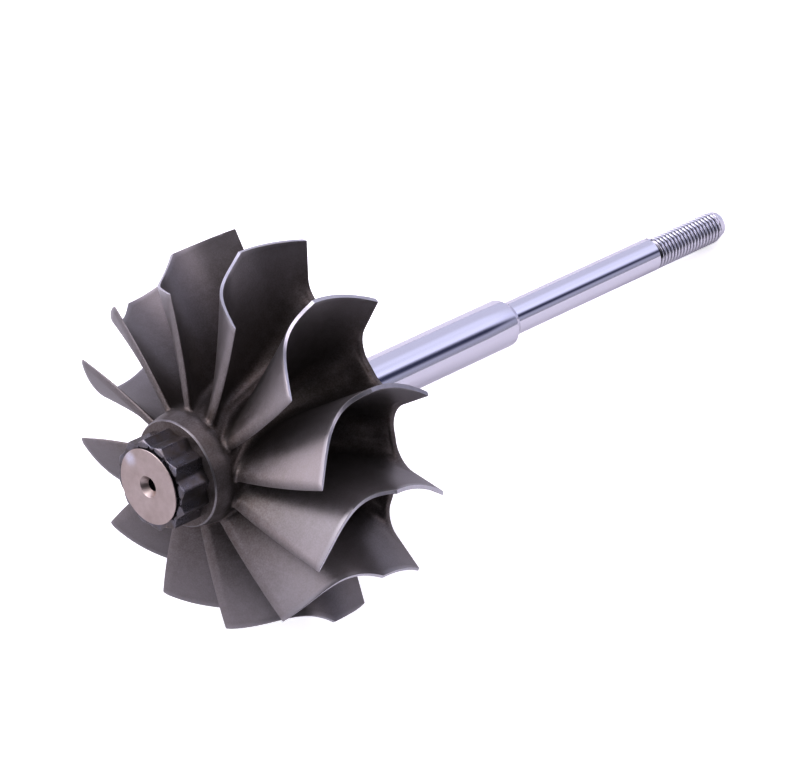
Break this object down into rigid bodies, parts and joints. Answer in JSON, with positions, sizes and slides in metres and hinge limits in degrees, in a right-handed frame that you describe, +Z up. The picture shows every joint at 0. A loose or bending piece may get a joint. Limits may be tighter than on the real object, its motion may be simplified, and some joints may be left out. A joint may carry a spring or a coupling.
{
  "type": "turbocharger turbine wheel",
  "caption": "Radial turbine wheel with twisted blades, a scalloped back disc and a wrenching drive on its nose, on a stepped ground shaft with a threaded end.",
  "frame": {"origin": "centre of the footprint on the floor, with the rotor lying on two blade tips and the end of its thread", "axes": "+Z up; +X along the shaft, from the wheel's nose towards the threaded end, which lies lower; the rotor's axis slopes down 15.5 degrees towards +X"},
  "size_m": [0.1586, 0.0754, 0.0751],
  "materials": {
    "cast_alloy": "satin investment-cast nickel alloy, dark grey-brown with fine grain",
    "dark_drive": "dark, slightly glossy machined facets",
    "turned_face": "turned face, pale with fine tool marks",
    "ground_steel": "ground and polished bearing steel",
    "cut_thread": "bright cut thread"
  },
  "bodies": {
    "root": {"nose_face": "turned_face", "nose_drive": "dark_drive", "nose_collar": "cast_alloy", "hub_body": "cast_alloy", "back_disc": "cast_alloy", "seal_boss": "ground_steel", "shaft_journal": "ground_steel", "shaft_stub": "ground_steel", "shaft_thread": "cut_thread", "blade_01": "cast_alloy", "blade_02": "cast_alloy", "blade_03": "cast_alloy", "blade_04": "cast_alloy", "blade_05": "cast_alloy", "blade_06": "cast_alloy", "blade_07": "cast_alloy", "blade_08": "cast_alloy", "blade_09": "cast_alloy", "blade_10": "cast_alloy", "blade_11": "cast_alloy", "blade_12": "cast_alloy"}
  },
  "joints": []
}
